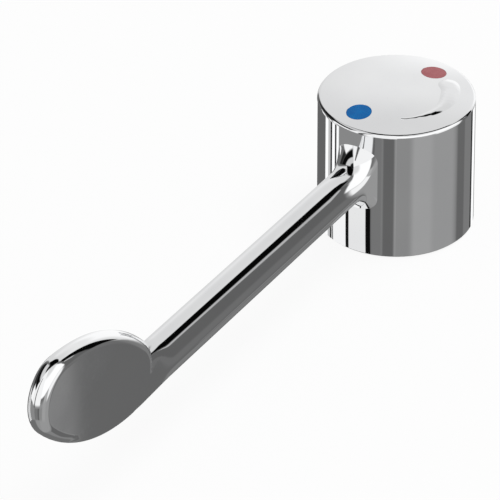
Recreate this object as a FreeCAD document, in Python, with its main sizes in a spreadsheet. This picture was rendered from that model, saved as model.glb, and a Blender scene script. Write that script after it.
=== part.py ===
"""Single-lever tap handle: a hollow hub with a domed top, a round lever and an oval paddle.

Millimetres and degrees. The origin is on the hub's axis, in the plane of its foot. +Z runs up that axis
and +X along the lever. Every driving size is a cell of the sheet "sizes", and the features are bound to
those cells.
"""
import FreeCAD
import Part
import math
import os

import Sketcher
from FreeCAD import Placement, Rotation, Vector

SIZES = {
    # Hub: a cup that stands on its open foot, closed by a dome.
    "hub_dia": 44.0,
    "hub_height": 39.4,
    "dome_radius": 140.0,
    "hub_wall": 3.0,
    "ceiling_height": 36.0,
    "rim_round": 1.1,
    "foot_chamfer": 0.4,
    # Lever: a tall neck at the hub, a round bar that thickens a little, and an end that flattens.
    "lever_height": 24.5,
    "bar_root_dia": 10.4,
    "bar_end_dia": 11.6,
    "neck_length": 10.0,
    "neck_height": 19.6,
    "neck_width": 11.8,
    "flat_length": 20.0,
    "flat_lap": 9.5,
    "flat_sink": 1.25,
    "flat_cover": 0.1,
    "bar_flat": 0.04,
    # Paddle: an upright oval plate with a full round edge, flush with one flank of the bar.
    "paddle_centre_x": 164.0,
    "paddle_centre_z": 38.25,
    "paddle_length": 58.2,
    "paddle_width": 30.1,
    "paddle_end_radius": 11.5,
    "paddle_tilt": 23.7,
    "paddle_thickness": 6.2,
    "paddle_land": 0.1,
    # Boss under the dome, with a pilot bore and a serrated socket for the tap's spindle.
    "boss_dia": 17.0,
    "boss_foot": 16.0,
    "pilot_dia": 9.0,
    "pilot_depth": 4.5,
    "socket_dia": 7.8,
    "socket_depth": 17.0,
    "serration_dia": 8.6,
    "serration_count": 20,
    "rib_thickness": 2.4,
    "rib_foot": 25.0,
    "rib_count": 3,
    # Set screw at the back of the hub, opposite the lever.
    "screw_dia": 5.0,
    "screw_length": 6.0,
    "screw_height": 25.5,
    "screw_key": 2.5,
    "screw_key_depth": 2.6,
    "screw_chamfer": 0.5,
    "screw_gap": 0.05,
    "spindle_gap": 0.3,
    # Colour markers, on one circle of the dome.
    "mark_circle": 14.8,
    "marker_dia": 7.0,
    "marker_gap": 0.05,
    "marker_sink": 0.5,
    "marker_angle": -14.5,
    # Raised comma between the markers: a thin tail that swells into a wide head with a round end.
    "comma_tail_angle": 35.0,
    "comma_head_angle": 136.0,
    "comma_end_angle": 147.0,
    "comma_tail_reach": 14.25,
    "comma_head_reach": 15.0,
    "comma_tail_width": 0.9,
    "comma_head_width": 5.8,
    "comma_tail_rise": 0.22,
    "comma_head_rise": 0.5,
}
MARKER_TURNS = {"cold_marker": 0.0, "hot_marker": 180.0}
NECK_SHARES = (0.3, 0.5, 0.7, 0.86, 1.0, 1.12)
FLAT_SHARES = (0.25, 0.5, 0.75, 1.0)
FLAT_DIVES = ((4.0, 0.2), (9.0, 0.9))
COMMA_STEPS = 6
COMMA_END_SHARES = (0.6, 0.85, 0.97)
HEXAGON_SIDES = 6
FULL_TURN = 360.0
TOUCH = 1e-4
UPRIGHT = Vector(0, 1, 0)
NORMAL = Vector(0, 0, 1)

# Places that more than one feature is bound to.
DOME_CENTRE = "(sizes.hub_height - sqrt(sizes.dome_radius ^ 2 - (sizes.hub_dia / 2) ^ 2))"
PADDLE_REACH = "(sizes.paddle_length / 2 - sizes.paddle_end_radius)"
PADDLE_NEAR_X = "(sizes.paddle_centre_x - %s * cos(sizes.paddle_tilt * 1 deg))" % PADDLE_REACH
BAR_END_X = "(%s - sizes.paddle_end_radius)" % PADDLE_NEAR_X
NECK_END = "(sizes.hub_dia / 2 + sizes.neck_length)"
FLAT_END = "(%s + sizes.flat_lap)" % BAR_END_X
FLAT_START = "(%s - sizes.flat_length)" % FLAT_END

doc = FreeCAD.newDocument("tap_handle")
sheet = doc.addObject("Spreadsheet::Sheet", "sizes")
for row, (alias, value) in enumerate(SIZES.items(), start=1):
    sheet.set("A%d" % row, alias)
    sheet.set("B%d" % row, str(value))
    sheet.setAlias("B%d" % row, alias)
doc.recompute()


def measure(expression):
    """The number that an expression of the sheet gives now."""
    return float(sheet.evalExpression(expression))


def origin_feature(body, role):
    """A plane or axis of the body's own origin."""
    return next(feature for feature in body.Origin.OriginFeatures if feature.Role == role)


def new_body(label):
    """An empty body whose label names its file."""
    body = doc.addObject("PartDesign::Body", label)
    body.Label = label
    return body


def new_sketch(body, name, role, turn=None, about=UPRIGHT, **shifts):
    """A sketch on an origin plane, turned about one of its own axes and shifted along x, y or z of them."""
    sketch = body.newObject("Sketcher::SketchObject", name)
    sketch.AttachmentSupport = [(origin_feature(body, role), "")]
    sketch.MapMode = "FlatFace"
    if turn:
        sketch.AttachmentOffset = Placement(Vector(0, 0, 0), Rotation(about, measure(turn)))
        sketch.setExpression("AttachmentOffset.Rotation.Angle", "(%s) * 1 deg" % turn)
    for axis, distance in shifts.items():
        sketch.setExpression("AttachmentOffset.Base." + axis, distance)
    return sketch


def dimension(sketch, kind, *where, to):
    """Add a dimension and bind it to an expression of the sheet."""
    index = sketch.addConstraint(Sketcher.Constraint(kind, *where, measure(to)))
    sketch.setExpression("Constraints[%d]" % index, to)


def pin(sketch, geometry, point, across, along):
    """Hold one point of the sketch at two expressions, measured from the sketch's origin."""
    for kind, axis, expression in (("DistanceX", -2, across), ("DistanceY", -1, along)):
        if expression == "0":
            sketch.addConstraint(Sketcher.Constraint("PointOnObject", geometry, point, axis))
        else:
            dimension(sketch, kind, -1, 1, geometry, point, to=expression)


def close_loop(sketch, count):
    """Join the sketch's first pieces of geometry end to start, round to the first again."""
    for index in range(count):
        sketch.addConstraint(Sketcher.Constraint("Coincident", index, 2, (index + 1) % count, 1))


def draw_polygon(sketch, corners):
    """A closed run of straight lines through corners, each a pair of expressions."""
    places = [Vector(measure(across), measure(along), 0) for across, along in corners]
    for start, end in zip(places, places[1:] + places[:1]):
        sketch.addGeometry(Part.LineSegment(start, end))
    close_loop(sketch, len(corners))
    for index, (across, along) in enumerate(corners):
        pin(sketch, index, 1, across, along)


def draw_circle(sketch, across, along, diameter):
    """A circle with its centre at two expressions."""
    centre = Vector(measure(across), measure(along), 0)
    index = sketch.addGeometry(Part.Circle(centre, Vector(0, 0, 1), measure(diameter) / 2))
    pin(sketch, index, 3, across, along)
    dimension(sketch, "Diameter", index, to=diameter)


def feature(body, kind, name, **settings):
    """A feature of the body. A text setting is bound to the sheet, any other is set as it is."""
    made = body.newObject("PartDesign::" + kind, name)
    for key, value in settings.items():
        if isinstance(value, str):
            made.setExpression(key, value)
        else:
            setattr(made, key, value)
    doc.recompute()
    return made


def turned(body, kind, name, profile, axis="V_Axis"):
    """A full turn of a profile about one axis of its sketch, added or cut away."""
    return feature(body, kind, name, Profile=profile, ReferenceAxis=(profile, [axis]), Angle=FULL_TURN)


def edges_where(made, test):
    """The names of the feature's edges that pass a test, without those that are a pole's single point."""
    edges = enumerate(made.Shape.Edges, start=1)
    return ["Edge%d" % index for index, edge in edges if not edge.Degenerated and test(edge)]


def is_lip(edge, diameter):
    """True for a circle about the hub's axis, of that diameter and in the plane of the foot."""
    curve = edge.Curve
    return (isinstance(curve, Part.Circle) and curve.Center.Length < TOUCH
            and abs(2 * curve.Radius - diameter) < TOUCH)


def join_smoothly(sketch, first, second):
    """Let the end of one piece of geometry run on into the start of another without a corner."""
    sketch.addConstraint(Sketcher.Constraint("Tangent", first, 2, second, 1))


def draw_arc(sketch, across, along, radius, start, end):
    """An arc with its centre at two expressions and a bound radius, from one angle to another."""
    centre = Vector(measure(across), measure(along), 0)
    circle = Part.Circle(centre, NORMAL, measure(radius))
    index = sketch.addGeometry(Part.ArcOfCircle(circle, start, end))
    pin(sketch, index, 3, across, along)
    dimension(sketch, "Radius", index, to=radius)
    return index


def draw_loose_arc(sketch, centre, radius, start, end):
    """An arc with a bound radius whose place is left to the pieces that it joins."""
    circle = Part.Circle(centre, NORMAL, measure(radius))
    index = sketch.addGeometry(Part.ArcOfCircle(circle, start, end))
    dimension(sketch, "Radius", index, to=radius)
    return index


def side_radius(reach, half, end_radius):
    """The radius of an oval's long arcs, which run smoothly into end arcs whose centres lie at reach."""
    return "((%s ^ 2 + %s ^ 2 - %s ^ 2) / (2 * (%s - %s)))" % (reach, half, end_radius, half, end_radius)


def draw_slot(sketch, half_length, half_width):
    """A slot with round ends about the sketch's origin, its length along the sketch's x."""
    reach = "(%s - %s)" % (half_length, half_width)
    far = measure(reach)
    side = measure(half_width)
    right = draw_arc(sketch, reach, "0", half_width, -math.pi / 2, math.pi / 2)
    upper = sketch.addGeometry(Part.LineSegment(Vector(far, side, 0), Vector(-far, side, 0)))
    left = draw_arc(sketch, "-" + reach, "0", half_width, math.pi / 2, 3 * math.pi / 2)
    lower = sketch.addGeometry(Part.LineSegment(Vector(-far, -side, 0), Vector(far, -side, 0)))
    loop = (right, upper, left, lower)
    for piece, following in zip(loop, loop[1:] + loop[:1]):
        join_smoothly(sketch, piece, following)


def draw_paddle(sketch):
    """The paddle's oval: two round ends and two flatter sides that run into each other."""
    tilt = math.radians(measure("sizes.paddle_tilt"))
    half = "(sizes.paddle_width / 2)"
    side = side_radius(PADDLE_REACH, half, "sizes.paddle_end_radius")
    drop = "(%s - %s)" % (side, half)
    turn = math.atan2(measure(drop), measure(PADDLE_REACH))
    beside = Vector(-math.sin(tilt), math.cos(tilt), 0)
    centre = Vector(measure("sizes.paddle_centre_x"), measure("sizes.paddle_centre_z"), 0)
    upper = centre - beside * measure(drop)
    lower = centre + beside * measure(drop)

    far_x = "sizes.paddle_centre_x + %s * cos(sizes.paddle_tilt * 1 deg)" % PADDLE_REACH
    far_z = "sizes.paddle_centre_z + %s * sin(sizes.paddle_tilt * 1 deg)" % PADDLE_REACH
    near_z = "sizes.paddle_centre_z - %s * sin(sizes.paddle_tilt * 1 deg)" % PADDLE_REACH
    loop = (
        draw_arc(sketch, far_x, far_z, "sizes.paddle_end_radius", tilt - turn, tilt + turn),
        draw_loose_arc(sketch, upper, side, tilt + turn, tilt + math.pi - turn),
        draw_arc(sketch, PADDLE_NEAR_X, near_z, "sizes.paddle_end_radius", tilt + math.pi - turn,
                 tilt + math.pi + turn),
        draw_loose_arc(sketch, lower, side, tilt + math.pi + turn, tilt + 2 * math.pi - turn),
    )
    for piece, following in zip(loop, loop[1:] + loop[:1]):
        join_smoothly(sketch, piece, following)


def draw_hub(sketch):
    """The hub's half section: foot, side, a round rim and the dome, closed by the axis."""
    radius = measure("sizes.hub_dia / 2")
    dome = measure("sizes.dome_radius")
    rim = measure("sizes.rim_round")
    level = measure(DOME_CENTRE)
    rim_level = level + math.sqrt((dome - rim) ** 2 - (radius - rim) ** 2)
    lean = math.atan2(rim_level - level, radius - rim)
    top = Vector(0, level + dome, 0)
    foot = Vector(radius, 0, 0)
    draw_arc(sketch, "0", DOME_CENTRE, "sizes.dome_radius", lean, math.pi / 2)
    sketch.addGeometry(Part.LineSegment(top, Vector(0, 0, 0)))
    sketch.addGeometry(Part.LineSegment(Vector(0, 0, 0), foot))
    sketch.addGeometry(Part.LineSegment(foot, Vector(radius, rim_level, 0)))
    rim_circle = Part.Circle(Vector(radius - rim, rim_level, 0), NORMAL, rim)
    sketch.addGeometry(Part.ArcOfCircle(rim_circle, 0, lean))
    for index in range(3):
        sketch.addConstraint(Sketcher.Constraint("Coincident", index, 2, index + 1, 1))
    join_smoothly(sketch, 3, 4)
    join_smoothly(sketch, 4, 0)
    sketch.addConstraint(Sketcher.Constraint("PointOnObject", 0, 2, -2))
    pin(sketch, 2, 1, "0", "0")
    pin(sketch, 2, 2, "sizes.hub_dia / 2", "0")
    sketch.addConstraint(Sketcher.Constraint("Vertical", 3))
    dimension(sketch, "Radius", 4, to="sizes.rim_round")


def draw_above_dome(sketch):
    """The half section of the space above the dome, as wide as the hub."""
    radius = measure("sizes.hub_dia / 2")
    height = measure("sizes.hub_height")
    dome = measure("sizes.dome_radius")
    far = "2 * sizes.hub_height"
    level = measure(far)
    top = Vector(0, measure(DOME_CENTRE) + dome, 0)
    draw_arc(sketch, "0", DOME_CENTRE, "sizes.dome_radius", math.acos(radius / dome), math.pi / 2)
    sketch.addGeometry(Part.LineSegment(top, Vector(0, level, 0)))
    sketch.addGeometry(Part.LineSegment(Vector(0, level, 0), Vector(radius, level, 0)))
    sketch.addGeometry(Part.LineSegment(Vector(radius, level, 0), Vector(radius, height, 0)))
    close_loop(sketch, 4)
    sketch.addConstraint(Sketcher.Constraint("PointOnObject", 0, 2, -2))
    pin(sketch, 2, 1, "0", far)
    pin(sketch, 2, 2, "sizes.hub_dia / 2", far)
    sketch.addConstraint(Sketcher.Constraint("Vertical", 3))


def add_paddle(body):
    """The oval plate, with both edges rounded until only a narrow land is left between them."""
    outline = new_sketch(body, "paddle_outline", "XZ_Plane", z="-sizes.bar_end_dia / 2")
    draw_paddle(outline)
    plate = feature(body, "Pad", "paddle_plate", Profile=outline, Length="sizes.paddle_thickness")
    rims = edges_where(plate, lambda edge: abs(edge.BoundBox.YLength) < TOUCH)
    edge_round = "(sizes.paddle_thickness - sizes.paddle_land) / 2"
    return feature(body, "Fillet", "paddle_edge", Base=(plate, rims), Radius=edge_round)


def bar_radius(place):
    """The bar's radius at a distance from the hub's axis. It reaches its end size where the paddle starts."""
    growth = "(sizes.bar_end_dia - sizes.bar_root_dia) / 2"
    return "(sizes.bar_root_dia / 2 + %s * %s / %s)" % (growth, place, BAR_END_X)


def add_loft(body, name, sections):
    """A smooth solid through the sections."""
    doc.recompute()
    return feature(body, "AdditiveLoft", name, Profile=sections[0], Sections=sections[1:])


def lever_section(body, name, place, height, width, middle="0"):
    """A slot across the lever, its length upright, at a distance from the hub's axis."""
    section = new_sketch(body, name, "YZ_Plane", turn="90", about=NORMAL,
                         x=middle, y="sizes.lever_height", z=place)
    draw_slot(section, height, width)
    return section


def bar_section(body, name, place):
    """The straight bar's own section: round but for a narrow flat along each flank."""
    radius = bar_radius(place)
    return lever_section(body, name, place, "(%s + sizes.bar_flat)" % radius, radius)


def neck_sections(body):
    """The lever's root, which swells from the bar to a tall slot inside the hub's wall."""
    sections = []
    rise = "(sizes.neck_height - sizes.bar_root_dia) / 2"
    spread = "(sizes.neck_width - sizes.bar_root_dia) / 2"
    for share in NECK_SHARES:
        swell = share ** 4
        place = "(%s - sizes.neck_length * %.4f)" % (NECK_END, share)
        radius = bar_radius(place)
        height = "(%s + sizes.bar_flat + %s * %.4f)" % (radius, rise, swell)
        width = "(%s + %s * %.4f)" % (radius, spread, swell)
        name = "neck_section_%d" % len(sections)
        sections.append(lever_section(body, name, place, height, width))
    return sections


def flat_sections(body):
    """The lever's outer end, which thins behind one flank to the paddle's thickness and sinks into it."""
    plate = "(sizes.paddle_thickness / 2 + sizes.flat_cover)"
    flank = "(%s + sizes.flat_cover)" % bar_radius(FLAT_END)
    sections = []
    for share in FLAT_SHARES:
        ease = share ** 2 * (3 - 2 * share)
        place = "(%s + sizes.flat_length * %.4f)" % (FLAT_START, share)
        radius = bar_radius(place)
        height = "(%s + sizes.bar_flat - sizes.flat_sink * %.4f)" % (radius, ease)
        width = "(%s * %.4f + %s * %.4f)" % (radius, 1 - ease, plate, ease)
        middle = "(%s + sizes.flat_cover * %.4f - %s)" % (radius, ease, width)
        name = "flat_section_%d" % len(sections)
        sections.append(lever_section(body, name, place, height, width, middle))
    for step, depth in FLAT_DIVES:
        place = "(%s + %s)" % (FLAT_END, step)
        height = "(%s + sizes.bar_flat - sizes.flat_sink - %s)" % (bar_radius(FLAT_END), depth)
        width = "(%s - %s)" % (plate, depth)
        name = "flat_section_%d" % len(sections)
        sections.append(lever_section(body, name, place, height, width, "(%s - %s)" % (flank, plate)))
    return sections


def add_lever(body):
    """The lever: a straight bar between the neck at the hub and the flat end at the paddle."""
    start = bar_section(body, "bar_start", NECK_END)
    end = bar_section(body, "bar_end", FLAT_START)
    add_loft(body, "bar", [start, end])
    add_loft(body, "neck", [start] + neck_sections(body))
    add_loft(body, "flat", [end] + flat_sections(body))


def add_hub(body):
    """The hub as a solid turned piece round the lever's neck."""
    profile = new_sketch(body, "hub_profile", "XZ_Plane")
    draw_hub(profile)
    return turned(body, "Revolution", "hub", profile)


def add_hollow(body):
    """The hollow under the dome: the cup round the boss, the pilot bore and the socket, all turned."""
    profile = new_sketch(body, "hollow_profile", "XZ_Plane")
    cup = "sizes.hub_dia / 2 - sizes.hub_wall"
    pilot_top = "sizes.boss_foot + sizes.pilot_depth"
    socket_top = "sizes.boss_foot + sizes.socket_depth"
    draw_polygon(profile, [
        ("0", "0"),
        (cup, "0"),
        (cup, "sizes.ceiling_height"),
        ("sizes.boss_dia / 2", "sizes.ceiling_height"),
        ("sizes.boss_dia / 2", "sizes.boss_foot"),
        ("sizes.pilot_dia / 2", "sizes.boss_foot"),
        ("sizes.pilot_dia / 2", pilot_top),
        ("sizes.socket_dia / 2", pilot_top),
        ("sizes.socket_dia / 2", socket_top),
        ("0", socket_top),
    ])
    hollow = turned(body, "Groove", "hollow", profile)
    rings = (measure("sizes.hub_dia"), measure("2 * (%s)" % cup))
    lips = edges_where(hollow, lambda edge: any(is_lip(edge, ring) for ring in rings))
    return feature(body, "Chamfer", "foot_edge", Base=(hollow, lips), Size="sizes.foot_chamfer")


def add_pattern(body, name, original, count):
    """Copies of a feature spaced evenly about the hub's axis."""
    axis = (origin_feature(body, "Z_Axis"), [""])
    pattern = feature(body, "PolarPattern", name, Originals=[original], Axis=axis, Angle=FULL_TURN,
                      Occurrences=count)
    body.Tip = pattern
    doc.recompute()
    return pattern


def add_ribs(body):
    """Ribs from the boss to the cup's wall, the first in line with the lever."""
    profile = new_sketch(body, "rib_profile", "XZ_Plane")
    inner = "sizes.boss_dia / 2 - sizes.rib_thickness / 2"
    outer = "sizes.hub_dia / 2 - sizes.hub_wall / 2"
    top = "sizes.ceiling_height + sizes.rib_thickness / 2"
    draw_polygon(profile, [(inner, "sizes.rib_foot"), (outer, "sizes.rib_foot"), (outer, top), (inner, top)])
    rib = feature(body, "Pad", "rib", Profile=profile, Length="sizes.rib_thickness", Midplane=True)
    return add_pattern(body, "ribs", rib, "sizes.rib_count")


def add_serration(body):
    """V grooves round the socket that grip the spindle's teeth."""
    mouth = "sizes.boss_foot + sizes.pilot_depth"
    profile = new_sketch(body, "serration_profile", "XY_Plane", z=mouth)
    inner = "sizes.socket_dia - sizes.serration_dia / 2"
    half = "(sizes.serration_dia - sizes.socket_dia) / 2"
    draw_polygon(profile, [(inner, "-" + half), ("sizes.serration_dia / 2", "0"), (inner, half)])
    tooth = feature(body, "Pocket", "serration", Profile=profile, Reversed=True,
                    Length="sizes.socket_depth - sizes.pilot_depth")
    return add_pattern(body, "serrations", tooth, "sizes.serration_count")


def add_screw_hole(body):
    """The threaded hole through the boss and the wall at the back of the hub."""
    profile = new_sketch(body, "screw_hole_profile", "YZ_Plane")
    draw_circle(profile, "0", "sizes.screw_height", "sizes.screw_dia + 2 * sizes.screw_gap")
    return feature(body, "Pocket", "screw_hole", Profile=profile, Length="sizes.hub_dia")


def comma_sections():
    """The angle, reach, width and rise of each section of the comma, from its tail to its round end."""
    for step in range(COMMA_STEPS):
        share = step / (COMMA_STEPS - 1)
        swell = share ** 2 * (3 - 2 * share)
        even = "(sizes.comma_tail_%s * {:.4f} + sizes.comma_head_%s * {:.4f})".format(1 - share, share)
        slow = "(sizes.comma_tail_%s * {:.4f} + sizes.comma_head_%s * {:.4f})".format(1 - swell, swell)
        yield [law % (name, name) for law, name in
               ((even, "angle"), (slow, "reach"), (slow, "width"), (slow, "rise"))]
    for share in COMMA_END_SHARES:
        angle = "(sizes.comma_head_angle * {:.4f} + sizes.comma_end_angle * {:.4f})".format(1 - share, share)
        shrink = "(sizes.comma_head_%s * {:.4f})".format(math.sqrt(1 - share ** 2))
        yield angle, "sizes.comma_head_reach", shrink % "width", shrink % "rise"


def draw_comma_section(sketch, reach, width, rise):
    """A low arch across the comma: its chord lies as far under the dome as its crest rises above it."""
    radius = "((%s ^ 2 / 4 + %s ^ 2) / (2 * %s))" % (width, rise, rise)
    slope = "(%s / sizes.dome_radius)" % reach
    depth = "(sizes.dome_radius + %s - %s)" % (rise, radius)
    across = "%s * %s" % (depth, slope)
    along = "%s + %s * sqrt(1 - %s ^ 2)" % (DOME_CENTRE, depth, slope)
    chord = "%s + sizes.dome_radius * sqrt(1 - %s ^ 2) - %s" % (DOME_CENTRE, slope, rise)
    start = math.asin((measure(chord) - measure(along)) / measure(radius))
    arch = draw_arc(sketch, across, along, radius, start, math.pi - start)
    curve = sketch.Geometry[arch]
    line = sketch.addGeometry(Part.LineSegment(curve.EndPoint, curve.StartPoint))
    close_loop(sketch, 2)
    sketch.addConstraint(Sketcher.Constraint("Horizontal", line))
    dimension(sketch, "DistanceY", -1, 1, line, 1, to=chord)


def add_comma(body):
    """The raised comma, lofted through arches that stand across its path on the dome."""
    sections = []
    for step, (angle, reach, width, rise) in enumerate(comma_sections()):
        section = new_sketch(body, "comma_section_%d" % step, "XZ_Plane", turn=angle)
        draw_comma_section(section, reach, width, rise)
        sections.append(section)
    return add_loft(body, "comma", sections)


def marker_place(turn):
    """The centre of a marker on the mark circle, turned by a number of degrees from the cold one."""
    angle = "((sizes.marker_angle + %r) * 1 deg)" % turn
    return "sizes.mark_circle * cos(%s)" % angle, "sizes.mark_circle * sin(%s)" % angle


def add_marker_seats(body):
    """Two flat-bottomed seats in the dome, opposite each other."""
    seat_level = "sizes.hub_height - sizes.marker_sink"
    profile = new_sketch(body, "marker_seat_profile", "XY_Plane", z=seat_level)
    for turn in MARKER_TURNS.values():
        draw_circle(profile, *marker_place(turn), "sizes.marker_dia + 2 * sizes.marker_gap")
    return feature(body, "Pocket", "marker_seats", Profile=profile, Reversed=True, Length="sizes.hub_height")


def make_casting():
    """The handle itself: hub, lever and paddle in one piece."""
    body = new_body("handle_casting")
    add_paddle(body)
    add_lever(body)
    add_hub(body)
    add_hollow(body)
    add_ribs(body)
    add_serration(body)
    add_screw_hole(body)
    add_comma(body)
    add_marker_seats(body)
    return body


def make_marker(label, turn):
    """A round coloured insert that fills its seat and carries the dome on over its top."""
    body = new_body(label)
    outline = new_sketch(body, "disc_outline", "XY_Plane", z="sizes.hub_height - sizes.marker_sink")
    draw_circle(outline, *marker_place(turn), "sizes.marker_dia")
    feature(body, "Pad", "disc", Profile=outline, Length="sizes.hub_height / 2")
    above = new_sketch(body, "above_dome", "XZ_Plane")
    draw_above_dome(above)
    turned(body, "Groove", "crown", above)
    return body


def make_screw():
    """The set screw, with a hexagon key socket outside and its point just clear of the spindle."""
    body = new_body("grub_screw")
    point = "-(sizes.serration_dia / 2 + sizes.spindle_gap)"
    outline = new_sketch(body, "screw_outline", "YZ_Plane", z=point)
    draw_circle(outline, "0", "sizes.screw_height", "sizes.screw_dia")
    shank = feature(body, "Pad", "shank", Profile=outline, Reversed=True, Length="sizes.screw_length")
    ends = edges_where(shank, lambda edge: isinstance(edge.Curve, Part.Circle))
    feature(body, "Chamfer", "ends", Base=(shank, ends), Size="sizes.screw_chamfer")
    key = new_sketch(body, "key_outline", "YZ_Plane", z="%s - sizes.screw_length" % point)
    side = FULL_TURN / HEXAGON_SIDES
    corner = "sizes.screw_key / 2 / cos(%g deg)" % (side / 2)
    corners = []
    for turn in (side * (number + 0.5) for number in range(HEXAGON_SIDES)):
        across = "%s * sin(%g deg)" % (corner, turn)
        along = "sizes.screw_height + %s * cos(%g deg)" % (corner, turn)
        corners.append((across, along))
    draw_polygon(key, corners)
    feature(body, "Pocket", "key_socket", Profile=key, Reversed=True, Length="sizes.screw_key_depth")
    return body


bodies = [make_casting()]
bodies += [make_marker(label, turn) for label, turn in MARKER_TURNS.items()]
bodies.append(make_screw())
doc.recompute()
for made in doc.Objects:
    if "Invalid" in made.State or "Error" in made.State:
        raise RuntimeError("%s failed: %s" % (made.Name, made.State))
for body in bodies:
    if len(body.Shape.Solids) != 1 or not body.Shape.isValid():
        raise RuntimeError("%s has no sound shape" % body.Label)
os.makedirs("parts", exist_ok=True)
for body in bodies:
    body.Shape.exportStep("parts/%s.step" % body.Label)
    print(body.Label, round(body.Shape.Volume, 1))
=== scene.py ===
"""Looks of the tap lever handle: plated casting, colour markers and set screw in a small white studio.

Metres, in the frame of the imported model: +Z up the hub's axis, +X along the lever.
"""

import math

import bmesh
import bpy
import numpy as np
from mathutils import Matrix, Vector


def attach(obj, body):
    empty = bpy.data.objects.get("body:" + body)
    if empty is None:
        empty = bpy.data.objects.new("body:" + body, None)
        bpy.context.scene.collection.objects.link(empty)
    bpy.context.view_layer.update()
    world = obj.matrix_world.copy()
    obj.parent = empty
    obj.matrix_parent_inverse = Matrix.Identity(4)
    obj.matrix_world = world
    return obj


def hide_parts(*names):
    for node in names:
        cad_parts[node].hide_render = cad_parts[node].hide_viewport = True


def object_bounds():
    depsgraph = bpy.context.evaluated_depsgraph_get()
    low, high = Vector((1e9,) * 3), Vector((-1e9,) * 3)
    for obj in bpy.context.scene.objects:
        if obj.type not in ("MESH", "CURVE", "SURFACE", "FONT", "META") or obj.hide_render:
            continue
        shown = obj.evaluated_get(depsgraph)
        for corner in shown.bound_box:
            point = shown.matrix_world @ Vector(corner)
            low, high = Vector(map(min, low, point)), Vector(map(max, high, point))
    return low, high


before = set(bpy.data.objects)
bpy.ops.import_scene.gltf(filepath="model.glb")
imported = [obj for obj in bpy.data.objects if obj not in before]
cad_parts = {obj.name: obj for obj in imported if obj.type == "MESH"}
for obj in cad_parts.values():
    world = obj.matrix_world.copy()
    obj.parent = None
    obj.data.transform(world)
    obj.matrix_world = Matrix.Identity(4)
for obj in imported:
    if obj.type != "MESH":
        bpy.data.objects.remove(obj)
cad_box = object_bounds()

# Camera, found by fitting the hub's and the bar's outline. Pixels are those of a 500 by 500 picture.
PICTURE = 500
SENSOR = 36.0
FOCAL_PIXELS = 7000.0
CAMERA_AZIMUTH = 120.95
CAMERA_ELEVATION = 32.96
CAMERA_DISTANCE = 1.9593
CAMERA_FARTHEST = 100.0
ORIGIN_PIXEL = (394.90, 214.77)

# White surroundings, the floor and the soft box.
WHITE = (1, 1, 1, 1)
SURROUND_FILL = 0.6
FLOOR_SIZE = 60.0
FLOOR_DROP = 0.0002
FLOOR_PAINT = (0.9, 0.9, 0.9, 1)
FLOOR_GLOW = 0.9
SOFT_BOX_SIZE = 1.2
SOFT_BOX_POWER = 14.0
SOFT_BOX_PLACE = (-0.4, 0.5, 1.8)

# The light tent: rows and columns of its grid, and what its light gains to make up for the chrome's loss.
TENT_RADIUS = 6.0
TENT_GRID = (73, 145)
TENT_GAIN = 1.08
FLOOR_CLOTH = 0.42
# Its panels, in degrees as in add_tent: azimuth from and to, elevation from and to, brightness on screen and
# softness of the edges. They are painted in this order.
TENT_PANELS = (
    # Floor cloth, lighter towards the front and the right.
    (50, 82, -100, -50, 0.50, 8),
    (82, 200, -100, -5, 0.58, 10),
    (-200, -130, -100, -5, 0.56, 10),
    # Low cloth round the object, with the dark stand of the camera in front.
    (36, 62, -46, -14, 0.47, 3),
    (62, 79, -60, -14, 0.385, 2),
    (126, 158, -46, -5, 0.61, 6),
    (158, 200, -46, -14, 0.53, 6),
    (-177, -160, -46, -14, 0.38, 2),
    (64.8, 77, -40, -33.2, 0.5, 0.15),
    (-160, -132, -46, -14, 0.45, 3),
    (-132, -87, -46, -10, 0.53, 2),
    (-54, -12, -46, -14, 0.38, 2),
    # Narrow white screens on the left, with dark gaps, and one behind on the right.
    (-87, -54, -46, -5, 1.0, 1),
    (-68, -62, -46, -5, 0.75, 1),
    (-72, -68, -46, -5, 0.08, 0.7),
    (-82, -78.5, -46, -5, 0.12, 0.7),
    (-12, 33, -38, -14, 1.0, 2),
    (4, 17, -38, -14, 0.6, 3),
    (33, 39, -38, -14, 0.1, 1),
    # White cloth to the right and in front, and a grey horizon.
    (78, 200, 8, 100, 1.0, 3),
    (-200, -112, -8, 100, 0.95, 4),
    (82, 150, -8, 8, 0.68, 5),
    (-134, -126, -14, 60, 0.35, 2),
    (84, 126, -14, 8, 0.95, 3),
    # Cloth on the left, white below a black gap and pale above it, and dark cloth overhead.
    (-112, -82, -5, 22, 0.97, 3),
    (-82, -36, 8, 24, 0.15, 4),
    (-112, -36, 24, 47, 0.04, 3),
    (-112, -36, 47, 72, 0.8, 3),
    (-112, 66, 72, 100, 0.12, 4),
    (66, 200, 58, 100, 0.85, 8),
    # White back panel, brightest low in the middle, with a grey strip and a black frame beside and above it.
    (-28, 60, -14, 54, 0.84, 3),
    (-8, 54, -14, 38, 0.90, 8),
    (2, 46, -14, 20, 0.98, 6),
    (66, 79, -14, 30, 0.37, 2),
    (62, 80, -30, -12, 0.42, 5),
    (69.3, 72, 12, 26, 0.7, 0.5),
    (56, 69, -12, 42, 0.02, 1),
    (-28, 64, 54, 78, 0.02, 2),
)

# The card under the lever: turn about the hub in degrees, reach, rows and columns of its grid, and its grey
# from one azimuth to another. A strip has azimuth from and to and brightness on screen.
CARD_TURN = (-54, -18)
CARD_REACH = (0.0001, 0.024)
CARD_DROP = 0.0001
CARD_GRID = (9, 73)
CARD_FADE = (-140.0, -80.0)
CARD_GREY = (0.45, 0.5)
CARD_STRIPS = ((-101, -75, 1.0), (-106.5, -101, 0.05), (-134.5, -106.5, 0.93), (-142, -134.5, 0.05))
CARD_SOFT = 0.8

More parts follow.
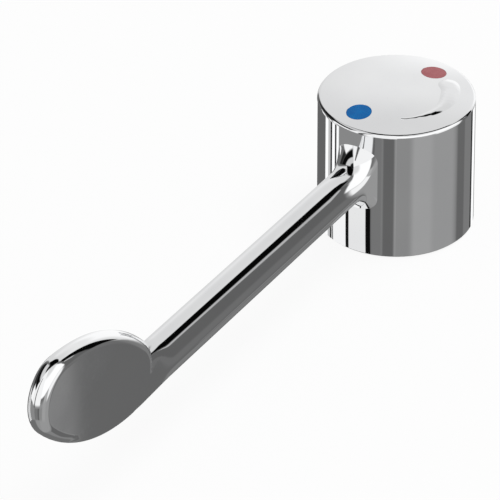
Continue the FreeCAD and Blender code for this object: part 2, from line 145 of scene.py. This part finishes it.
# Outer surfaces of the casting: hub, lever, paddle and the lever's flat end.
HUB_RADIUS = 0.022
HUB_SIDE = 0.0394
RIM_ROUND = 0.0011
DOME_RADIUS = 0.140
DOME_LEVEL = HUB_SIDE - math.sqrt(DOME_RADIUS ** 2 - HUB_RADIUS ** 2)
RIM_LEVEL = DOME_LEVEL + math.sqrt((DOME_RADIUS - RIM_ROUND) ** 2 - (HUB_RADIUS - RIM_ROUND) ** 2)
LEVER_HEIGHT = 0.0245
BAR_ROOT_RADIUS = 0.0052
BAR_END_RADIUS = 0.0058
BAR_FLAT = 0.00004
NECK_END = 0.032
NECK_LENGTH = 0.010
NECK_RISE = 0.0046
NECK_SPREAD = 0.0007
NECK_POWER = 4
PADDLE_CENTRE = (0.164, 0.03825)
PADDLE_TILT = math.radians(23.7)
PADDLE_HALF_LENGTH = 0.0291
PADDLE_HALF_WIDTH = 0.01505
PADDLE_END_RADIUS = 0.0115
PADDLE_END_REACH = PADDLE_HALF_LENGTH - PADDLE_END_RADIUS
PADDLE_SIDE_RADIUS = ((PADDLE_END_REACH ** 2 + PADDLE_HALF_WIDTH ** 2 - PADDLE_END_RADIUS ** 2)
                      / (2 * (PADDLE_HALF_WIDTH - PADDLE_END_RADIUS)))
PADDLE_MIDDLE = 0.0027
PADDLE_LAND = 0.0001
PADDLE_EDGE = 0.00305
BAR_END_X = PADDLE_CENTRE[0] - PADDLE_END_REACH * math.cos(PADDLE_TILT) - PADDLE_END_RADIUS
FLAT_REACH = 0.0095
FLAT_LENGTH = 0.020
FLAT_END = BAR_END_X + FLAT_REACH
FLAT_START = FLAT_END - FLAT_LENGTH
FLAT_SINK = 0.00125
FLAT_COVER = 0.0001
FLAT_HALF = PADDLE_EDGE + PADDLE_LAND / 2 + FLAT_COVER

# Polish of lever and paddle. A pair is a stretch along X or Z over which it comes in or runs out.
NECK_LEAN = 0.22
NECK_SPAN = (0.028, 0.040)
FLANK_EASE = 0.34
FLANK_START = (0.026, 0.040)
FLUSH_START = (0.126, 0.134)
FLUSH_LOW = (0.0165, 0.0195)
FLUSH_HIGH = (0.0285, 0.0303)
JOIN_ROUND = 0.0016
JOIN_ENDS = (0.137, 0.145)

# How near a triangle's corners and middle lie to a surface that it belongs to, and how alike the two face.
LEVER_FIT = 1.2e-4
HUB_FIT = 4e-6
PADDLE_FIT = 3e-5
MIDDLE_FIT = 2e-4
FACING_FIT = 0.7
FLUSH_FACING = 0.97
# A triangle of the comma has a corner this far above the dome. Corners this close are welded, and edges that
# turn by more than this stay sharp.
COMMA_RISE = 5e-6
WELD = 1e-7
SHARP_ANGLE = math.radians(30)
# Half the step over which a slope is measured, and the shortest length that is divided by.
SLOPE_STEP = 1e-6
SHORTEST = 1e-12

# Finishes: the two colours that a cloudy finish goes between, and its roughness. A scale is in patches to the
# metre, and a span is where a cloud goes from nought to one.
CHROME_TINTS = ((0.93, 0.935, 0.94), (0.9, 0.905, 0.915))
CHROME_ROUGHNESS = 0.02
CLOUD_SPAN = (0.3, 0.7)
HAZE_SCALE = 60.0
HAZE_SPAN = (0.35, 0.75)
HAZE_ROUGHNESS = 0.03
POLISH_SCALE = 900.0
POLISH_SPAN = (0.4, 0.8)
POLISH_ROUGHNESS = 0.01
BLUE_TINTS = ((0.0, 0.11, 0.36), (0.0, 0.14, 0.42))
RED_TINTS = ((0.36, 0.1, 0.11), (0.42, 0.14, 0.15))
MARKER_SCALE = 350.0
MARKER_ROUGHNESS = (0.3, 0.4)
MARKER_SHEEN = 0.12
STEEL_TINT = (0.45, 0.45, 0.46, 1)
STEEL_SCALE = 2500.0
STEEL_ROUGHNESS = (0.25, 0.4)


class Value:
    """A socket of a node tree. Operators on it add Math nodes, and make() adds any other node."""

    def __init__(self, tree, socket=None):
        self.tree = tree
        self.socket = socket

    def make(self, kind, settings=None, out=0, **sockets):
        """Add a node: its settings first, then a number, colour or link for each socket by name or number."""
        node = self.tree.nodes.new(kind)
        for key, setting in (settings or {}).items():
            setattr(node, key, setting)
        for key, given in sockets.items():
            name = key.replace("_", " ").strip()
            target = node.inputs[int(name) if name.isdigit() else name]
            if isinstance(given, Value):
                self.tree.links.new(given.socket, target)
            else:
                target.default_value = given
        return Value(self.tree, node.outputs[out] if node.outputs else None)

    def maths(self, operation, first, second):
        """A Math node of that operation on two terms."""
        return self.make("ShaderNodeMath", {"operation": operation}, _0=first, _1=second)

    def __add__(self, other):
        return self.maths("ADD", self, other)

    def __radd__(self, other):
        return self.maths("ADD", other, self)

    def __sub__(self, other):
        return self.maths("SUBTRACT", self, other)

    def __rsub__(self, other):
        return self.maths("SUBTRACT", other, self)

    def __mul__(self, other):
        return self.maths("MULTIPLY", self, other)

    def __rmul__(self, other):
        return self.maths("MULTIPLY", other, self)

    def ramp(self, low, high, start=0.0, end=1.0):
        """Eases from start to end as this value goes from low to high."""
        return self.make("ShaderNodeMapRange", {"interpolation_type": "SMOOTHSTEP"}, Value=self,
                         From_Min=low, From_Max=high, To_Min=start, To_Max=end)

    def band(self, low, high, soft):
        """One between low and high, falling to nought over a soft edge on each side."""
        return self.ramp(low - soft, low + soft) * self.ramp(high - soft, high + soft, 1.0, 0.0)

    def tint(self, first, second):
        """From the first colour to the second as this value goes from nought to one.

        A Mix node has its colours in its sockets 6 and 7, and their mix in its output 2.
        """
        return self.make("ShaderNodeMix", {"data_type": "RGBA"}, out=2, Factor=self,
                         _6=(*first, 1), _7=(*second, 1))


def painted(under, over, share):
    """The first brightness where share is nought, the second where share is one."""
    return under + (over - under) * share


def linear(level):
    """The light of a grey that shows as this level, from nought to one, on screen, by the sRGB curve."""
    return level / 12.92 if level <= 0.04045 else ((level + 0.055) / 1.055) ** 2.4


def new_material(name):
    """A node material with no nodes yet, and a first Value for making them."""
    material = bpy.data.materials.new(name)
    material.use_nodes = True
    material.node_tree.nodes.clear()
    return material, Value(material.node_tree)


def uv_part(start, part):
    """X or Y of a piece's UV map."""
    place = start.make("ShaderNodeUVMap", {"uv_map": "UVMap"})
    return start.make("ShaderNodeSeparateXYZ", out=part, Vector=place)


def clouds(start, scale, detail):
    """Soft random patches on a piece."""
    place = start.make("ShaderNodeTexCoord", out="Object")
    return start.make("ShaderNodeTexNoise", Vector=place, Scale=scale, Detail=detail)


def surface(name, vertices, faces, uv=None):
    """A mesh object from arrays of vertices and quads, with an optional UV place for each vertex."""
    mesh = bpy.data.meshes.new(name)
    mesh.from_pydata(vertices, [], faces)
    if uv is not None:
        layer = mesh.uv_layers.new(name="UVMap")
        layer.data.foreach_set("uv", uv[np.asarray(faces).ravel()].ravel())
    mesh.polygons.foreach_set("use_smooth", np.ones(len(faces), bool))
    made = bpy.data.objects.new(name, mesh)
    bpy.context.scene.collection.objects.link(made)
    return made


def grid_faces(rows, columns):
    """Quads of a grid of rows by columns of vertices, numbered row by row."""
    corner = np.arange((rows - 1) * columns).reshape(rows - 1, columns)[:, :-1].ravel()
    return np.stack([corner, corner + 1, corner + columns + 1, corner + columns], 1)


def unit(vectors):
    """The same directions, each of length one."""
    return vectors / np.maximum(np.linalg.norm(vectors, axis=-1, keepdims=True), SHORTEST)


def ease(value, low, high):
    """Nought at low, one at high, smooth between."""
    share = np.clip((value - low) / (high - low), 0, 1)
    return share ** 2 * (3 - 2 * share)


def hub_side(points):
    """Distance to the hub's upright side, and its normal: straight away from the hub's axis."""
    out = points * (1, 1, 0)
    return np.linalg.norm(out, axis=1) - HUB_RADIUS, unit(out)


def hub_rim(points):
    """Distance to the round rim, and its normal: away from the nearest point of the rim's middle ring."""
    ring = unit(points * (1, 1, 0)) * (HUB_RADIUS - RIM_ROUND) + (0, 0, RIM_LEVEL)
    return np.linalg.norm(points - ring, axis=1) - RIM_ROUND, unit(points - ring)


def hub_dome(points):
    """Distance to the dome, and its normal: away from the middle of the dome's sphere."""
    out = points - (0, 0, DOME_LEVEL)
    return np.linalg.norm(out, axis=1) - DOME_RADIUS, unit(out)


def lever_gap(points):
    """Distance to the lever: an upright slot whose half height, half width and middle change along it."""
    x, y, z = points.T
    radius = BAR_ROOT_RADIUS + (BAR_END_RADIUS - BAR_ROOT_RADIUS) * x / BAR_END_X
    swell = np.maximum((NECK_END - x) / NECK_LENGTH, 0) ** NECK_POWER
    flat = ease(x, FLAT_START, FLAT_END)
    height = radius + BAR_FLAT + NECK_RISE * swell - FLAT_SINK * flat
    width = (radius + NECK_SPREAD * swell) * (1 - flat) + FLAT_HALF * flat
    middle = np.where(x > FLAT_START, radius + FLAT_COVER * flat - width, 0)
    upright = np.maximum(np.abs(z - LEVER_HEIGHT) - height + width, 0)
    return np.hypot(upright, y - middle) - width


def lever(points):
    """Distance to the lever, and its normal: the slope of that distance along X, Y and Z."""
    steps = np.eye(3) * SLOPE_STEP
    slope = np.stack([lever_gap(points + step) - lever_gap(points - step) for step in steps], 1)
    return lever_gap(points), unit(slope)


def paddle(points):
    """Distance to the paddle, and its normal: away from a flat oval of four arcs inside it."""
    across = points[:, [0, 2]] - PADDLE_CENTRE
    along = np.array((math.cos(PADDLE_TILT), math.sin(PADDLE_TILT)))
    beside = np.array((-along[1], along[0]))
    flat = np.stack([across @ along, across @ beside], 1)
    sign = np.where(flat < 0, -1.0, 1.0)
    drop = PADDLE_SIDE_RADIUS - PADDLE_HALF_WIDTH
    from_end = np.abs(flat) - (PADDLE_END_REACH, 0)
    from_side = np.abs(flat) + (0, drop)
    at_end = PADDLE_END_REACH * from_side[:, 1] < drop * np.abs(flat[:, 0])
    spoke = np.where(at_end[:, None], from_end, from_side)
    radius = np.where(at_end, PADDLE_END_RADIUS, PADDLE_SIDE_RADIUS)
    out = unit(spoke) * sign
    past = np.maximum(np.linalg.norm(spoke, axis=1) - radius + PADDLE_EDGE, 0)
    level = points[:, 1] - PADDLE_MIDDLE
    level = level - np.clip(level, -PADDLE_LAND / 2, PADDLE_LAND / 2)
    outward = past[:, None] * (out[:, :1] * along + out[:, 1:] * beside)
    away = np.stack([outward[:, 0], level, outward[:, 1]], 1)
    return np.linalg.norm(away, axis=1) - PADDLE_EDGE, unit(away)


def joined(points):
    """Normals of lever and paddle as polished: the sum of the two surfaces' own, shared out by distance.

    At the neck they lean a little along the lever. The lever's near flank is flatter past the neck and runs
    out flush in the paddle's face, and above that the two meet as in a small fillet.
    """
    x, y, z = points.T
    face = np.array((0.0, 1.0, 0.0))
    to_lever, lever_way = lever(points)
    to_paddle, paddle_way = paddle(points)
    lean = NECK_LEAN * (1 - ease(x, *NECK_SPAN)) * np.maximum(lever_way[:, 1], 0)
    flank = FLANK_EASE * ease(x, *FLANK_START)
    lever_way = unit(lever_way + np.stack([lean, flank, np.zeros_like(x)], 1))
    level = ease(z, *FLUSH_LOW) * (1 - ease(z, *FLUSH_HIGH)) * (y > 0)
    flush = (level * ease(x, *FLUSH_START))[:, None]
    lever_way = unit(lever_way * (1 - flush) + face * flush)
    paddle_way = unit(paddle_way * (1 - flush) + face * flush)
    nearer = np.clip(0.5 + (to_paddle - to_lever) / (2 * JOIN_ROUND), 0, 1)
    share = (nearer * (1 - ease(x, *JOIN_ENDS)))[:, None]
    return unit(lever_way * share + paddle_way * (1 - share))


def read(items, field, width, kind):
    """A field of a mesh's vertices or corners as an array, with that many numbers for each."""
    values = np.empty(len(items) * width, kind)
    items.foreach_get(field, values)
    return values.reshape(len(items), width)


def true_normals(mesh):
    """Corner normals from the formulas of the surfaces that the mesh's triangles lie on. Other triangles keep
    their own, and those of the raised comma are smoothed among themselves."""
    points = read(mesh.vertices, "co", 3, float)
    corners = read(mesh.loops, "vertex_index", 1, int).reshape(-1, 3)
    normals = read(mesh.corner_normals, "vector", 3, float).reshape(-1, 3, 3)
    places = points[corners]
    area = np.cross(places[:, 1] - places[:, 0], places[:, 2] - places[:, 0])
    facing = unit(area)
    middle = places.mean(1)
    raised = hub_dome(points)[0][corners].max(1) > COMMA_RISE
    comma = raised & (middle[:, 2] > RIM_LEVEL + RIM_ROUND / 2)
    total = np.zeros_like(points)
    np.add.at(total, corners[comma].ravel(), np.repeat(area[comma], 3, axis=0))
    normals[comma] = unit(total)[corners[comma]]
    polished = joined(points)
    forms = ((lever, LEVER_FIT), (hub_side, HUB_FIT), (hub_rim, HUB_FIT), (hub_dome, HUB_FIT),
             (paddle, PADDLE_FIT))
    for form, fit in forms:
        gap, direction = form(points)
        if form in (lever, paddle):
            direction = polished
        sag, heading = form(middle)
        near = (np.abs(gap)[corners].max(1) < fit) & (np.abs(sag) < MIDDLE_FIT)
        on = near & ((facing * heading).sum(1) > FACING_FIT)
        normals[on] = direction[corners[on]]
    flush = (middle[:, 0] > FLUSH_START[1]) & (facing[:, 1] > FLUSH_FACING)
    normals[flush] = polished[corners[flush]]
    return normals.reshape(-1, 3)


def add_casting(finish):
    """The casting's own mesh, welded, with the true normals of its polished surfaces."""
    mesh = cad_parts["handle_casting"].data.copy()
    mesh.name = "polished_casting"
    welder = bmesh.new()
    welder.from_mesh(mesh)
    bmesh.ops.remove_doubles(welder, verts=welder.verts, dist=WELD)
    welder.to_mesh(mesh)
    welder.free()
    mesh.set_sharp_from_angle(angle=SHARP_ANGLE)
    mesh.normals_split_custom_set(true_normals(mesh))
    mesh.materials[0] = finish
    casting = bpy.data.objects.new("polished_casting", mesh)
    bpy.context.scene.collection.objects.link(casting)
    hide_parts("handle_casting")
    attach(casting, "root")


def view_axes():
    """The unit vectors from the object to the camera, to the picture's right and to its top."""
    turn, tilt = math.radians(CAMERA_AZIMUTH), math.radians(CAMERA_ELEVATION)
    back = Vector((math.sin(turn) * math.cos(tilt), -math.cos(turn) * math.cos(tilt), math.sin(tilt)))
    right = Vector((0, 0, 1)).cross(back).normalized()
    return back, right, back.cross(right)


def level_way(turn):
    """Level directions at an array of angles from the viewer's side, turning to the picture's right."""
    right = np.array(view_axes()[1])
    front = np.cross(right, (0, 0, 1))
    return np.cos(turn)[..., None] * front + np.sin(turn)[..., None] * right


def add_camera():
    """A long lens that puts the origin at its pixel of the picture."""
    back, right, top = view_axes()
    lens = bpy.data.cameras.new("camera")
    lens.sensor_width = SENSOR
    lens.lens = FOCAL_PIXELS / PICTURE * SENSOR
    lens.clip_end = CAMERA_FARTHEST
    camera = bpy.data.objects.new("camera", lens)
    per_pixel = CAMERA_DISTANCE / FOCAL_PIXELS
    across = (ORIGIN_PIXEL[0] - PICTURE / 2) * per_pixel
    down = (ORIGIN_PIXEL[1] - PICTURE / 2) * per_pixel
    camera.location = back * CAMERA_DISTANCE - right * across + top * down
    camera.rotation_mode = "QUATERNION"
    camera.rotation_quaternion = (-back).to_track_quat("-Z", "Y")
    bpy.context.scene.collection.objects.link(camera)
    bpy.context.scene.camera = camera


def add_world():
    """White where the camera sees it, a softer fill on the object and the floor."""
    world = bpy.data.worlds.new("studio")
    world.use_nodes = True
    world.node_tree.nodes.clear()
    start = Value(world.node_tree)
    seen = start.make("ShaderNodeLightPath", out="Is Camera Ray")
    sky = start.make("ShaderNodeBackground", Color=WHITE, Strength=painted(SURROUND_FILL, 1.0, seen))
    start.make("ShaderNodeOutputWorld", Surface=sky)
    bpy.context.scene.world = world


def add_floor():
    """A level sheet under the hub's foot, drawn white, with the object's shadow left on it."""
    half = FLOOR_SIZE / 2
    low = cad_box[0].z - FLOOR_DROP
    corners = [(-half, -half, low), (half, -half, low), (half, half, low), (-half, half, low)]
    floor = surface("floor", corners, [(0, 1, 2, 3)])
    material, start = new_material("floor_white")
    seen = start.make("ShaderNodeLightPath", out="Is Camera Ray")
    matt = start.make("ShaderNodeBsdfDiffuse", Color=FLOOR_PAINT)
    glow = start.make("ShaderNodeEmission", Color=WHITE)
    mixed = start.make("ShaderNodeMixShader", _0=seen * FLOOR_GLOW, _1=matt, _2=glow)
    start.make("ShaderNodeOutputMaterial", Surface=mixed)
    floor.data.materials.append(material)
    floor.visible_glossy = False


def only_mirrored(piece):
    """Let a piece be seen in the metal alone."""
    piece.visible_camera = False
    piece.visible_diffuse = False
    piece.visible_shadow = False


def add_tent():
    """The light tent that the metal mirrors: a sphere whose UV map holds azimuth and elevation in degrees.

    Azimuth is counted from straight behind the object, with the picture's right at 90. A grid point is
    radius * (cos el * (cos az * away + sin az * right) + sin el * up).
    """
    rows, columns = TENT_GRID
    turn, tilt = np.meshgrid(np.linspace(-180, 180, columns), np.linspace(-90, 90, rows))
    level = np.cos(np.radians(tilt))[..., None]
    rise = np.sin(np.radians(tilt))[..., None]
    points = TENT_RADIUS * (level * level_way(np.radians(180 - turn)) + rise * np.array((0, 0, 1)))
    uv = np.stack([turn, tilt], -1).reshape(-1, 2)
    tent = surface("light_tent", points.reshape(-1, 3), grid_faces(rows, columns), uv)
    material, start = new_material("tent_cloth")
    light = tent_light(uv_part(start, "X"), uv_part(start, "Y"))
    glow = start.make("ShaderNodeEmission", Color=light * TENT_GAIN)
    start.make("ShaderNodeOutputMaterial", Surface=glow)
    tent.data.materials.append(material)
    only_mirrored(tent)


def tent_light(azimuth, elevation):
    """How bright the tent is in each direction: the floor cloth, with each panel painted over it in turn."""
    light = linear(FLOOR_CLOTH)
    for left, right, low, high, shown, soft in TENT_PANELS:
        share = azimuth.band(left, right, soft) * elevation.band(low, high, soft)
        light = painted(light, linear(shown), share)
    return light


def add_card():
    """A striped card on the floor under the lever, seen only in the hub's side.

    A point is radius * e(turn) + reach * e(2 * turn), where e is the level direction at that angle from the
    viewer's side, so each strip stands upright in the round side. The UV map holds azimuth and reach.
    """
    rows, columns = CARD_GRID
    turn, reach = np.meshgrid(np.radians(np.linspace(*CARD_TURN, columns)), np.linspace(*CARD_REACH, rows))
    points = HUB_RADIUS * level_way(turn) + reach[..., None] * level_way(2 * turn)
    points = points + (0, 0, cad_box[0].z - CARD_DROP)
    uv = np.stack([-180 - 2 * np.degrees(turn), reach], -1).reshape(-1, 2)
    card = surface("floor_card", points.reshape(-1, 3), grid_faces(rows, columns), uv)
    material, start = new_material("card_strips")
    azimuth = uv_part(start, "X")
    light = azimuth.ramp(*CARD_FADE, linear(CARD_GREY[0]), linear(CARD_GREY[1]))
    for left, right, shown in CARD_STRIPS:
        light = painted(light, linear(shown), azimuth.band(left, right, CARD_SOFT))
    glow = start.make("ShaderNodeEmission", Color=light)
    start.make("ShaderNodeOutputMaterial", Surface=glow)
    card.data.materials.append(material)
    only_mirrored(card)


def add_lamp():
    """A soft box overhead that shapes the coloured pieces. The metal mirrors the tent in its place."""
    lamp = bpy.data.lights.new("soft_box", "AREA")
    lamp.shape = "DISK"
    lamp.size = SOFT_BOX_SIZE
    lamp.energy = SOFT_BOX_POWER
    soft_box = bpy.data.objects.new("soft_box", lamp)
    soft_box.location = SOFT_BOX_PLACE
    soft_box.rotation_mode = "QUATERNION"
    soft_box.rotation_quaternion = (-soft_box.location).to_track_quat("-Z", "Y")
    soft_box.visible_glossy = False
    bpy.context.scene.collection.objects.link(soft_box)


def plated_chrome():
    """Bright chrome over a polished casting: a faint haze and a very fine, uneven polish."""
    material, start = new_material("plated_chrome")
    haze = clouds(start, scale=HAZE_SCALE, detail=3.0)
    polish = clouds(start, scale=POLISH_SCALE, detail=2.0)
    roughness = (CHROME_ROUGHNESS + haze.ramp(*HAZE_SPAN, 0.0, HAZE_ROUGHNESS)
                 + polish.ramp(*POLISH_SPAN, 0.0, POLISH_ROUGHNESS))
    tint = haze.ramp(*CLOUD_SPAN).tint(*CHROME_TINTS)
    chrome = start.make("ShaderNodeBsdfPrincipled", Base_Color=tint, Metallic=1.0, Roughness=roughness)
    start.make("ShaderNodeOutputMaterial", Surface=chrome)
    return material


def marker_plastic(name, tints):
    """Glossy moulded plastic, a little paler in soft clouds."""
    material, start = new_material(name)
    cloud = clouds(start, scale=MARKER_SCALE, detail=4.0)
    plastic = start.make("ShaderNodeBsdfPrincipled", Base_Color=cloud.ramp(*CLOUD_SPAN).tint(*tints),
                         Specular_IOR_Level=MARKER_SHEEN,
                         Roughness=cloud.ramp(*CLOUD_SPAN, *MARKER_ROUGHNESS))
    start.make("ShaderNodeOutputMaterial", Surface=plastic)
    return material


def screw_steel():
    """Dull steel with a fine, uneven grain."""
    material, start = new_material("screw_steel")
    grain = clouds(start, scale=STEEL_SCALE, detail=2.0)
    steel = start.make("ShaderNodeBsdfPrincipled", Base_Color=STEEL_TINT, Metallic=1.0,
                       Roughness=grain.ramp(*CLOUD_SPAN, *STEEL_ROUGHNESS))
    start.make("ShaderNodeOutputMaterial", Surface=steel)
    return material


add_casting(plated_chrome())
finishes = {
    "cold_marker": marker_plastic("marker_blue", BLUE_TINTS),
    "hot_marker": marker_plastic("marker_red", RED_TINTS),
    "grub_screw": screw_steel(),
}
for node, finish in finishes.items():
    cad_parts[node].data.materials[0] = finish

add_camera()
add_world()
add_floor()
add_tent()
add_card()
add_lamp()
bpy.context.scene.view_settings.view_transform = "Standard"
